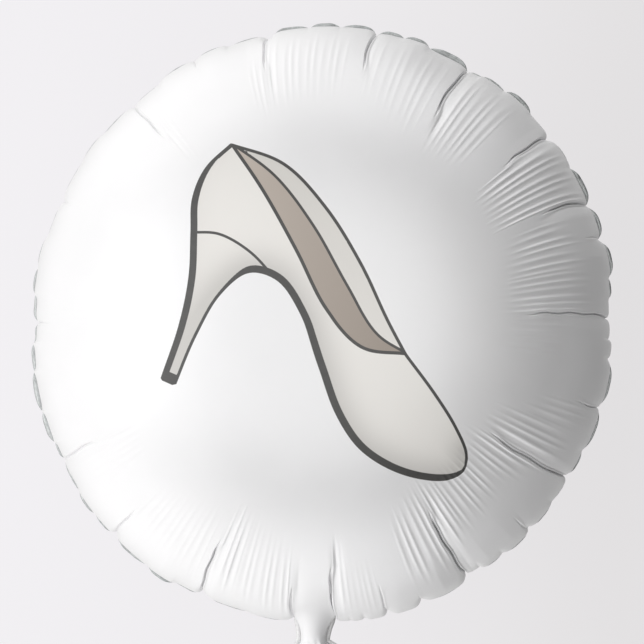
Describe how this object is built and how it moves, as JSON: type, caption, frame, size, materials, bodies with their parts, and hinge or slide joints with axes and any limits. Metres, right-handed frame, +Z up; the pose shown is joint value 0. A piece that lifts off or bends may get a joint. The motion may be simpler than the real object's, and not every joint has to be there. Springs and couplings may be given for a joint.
{
  "type": "foil balloon",
  "caption": "Round inflated foil party balloon with a gathered rim, a welded seal, a short neck and a flat tail, lying on its back.",
  "frame": {"origin": "centre of the small flat spot on the back that the balloon lies on, at floor level", "axes": "+Z up, out of the printed front; the neck and tail point along -Y; +X to the right when facing the print"},
  "size_m": [0.3601, 0.4353, 0.2041],
  "materials": {
    "foil": "satin pearl white metallised film with a printed front"
  },
  "bodies": {
    "root": {"foil_balloon": "foil"}
  },
  "joints": []
}
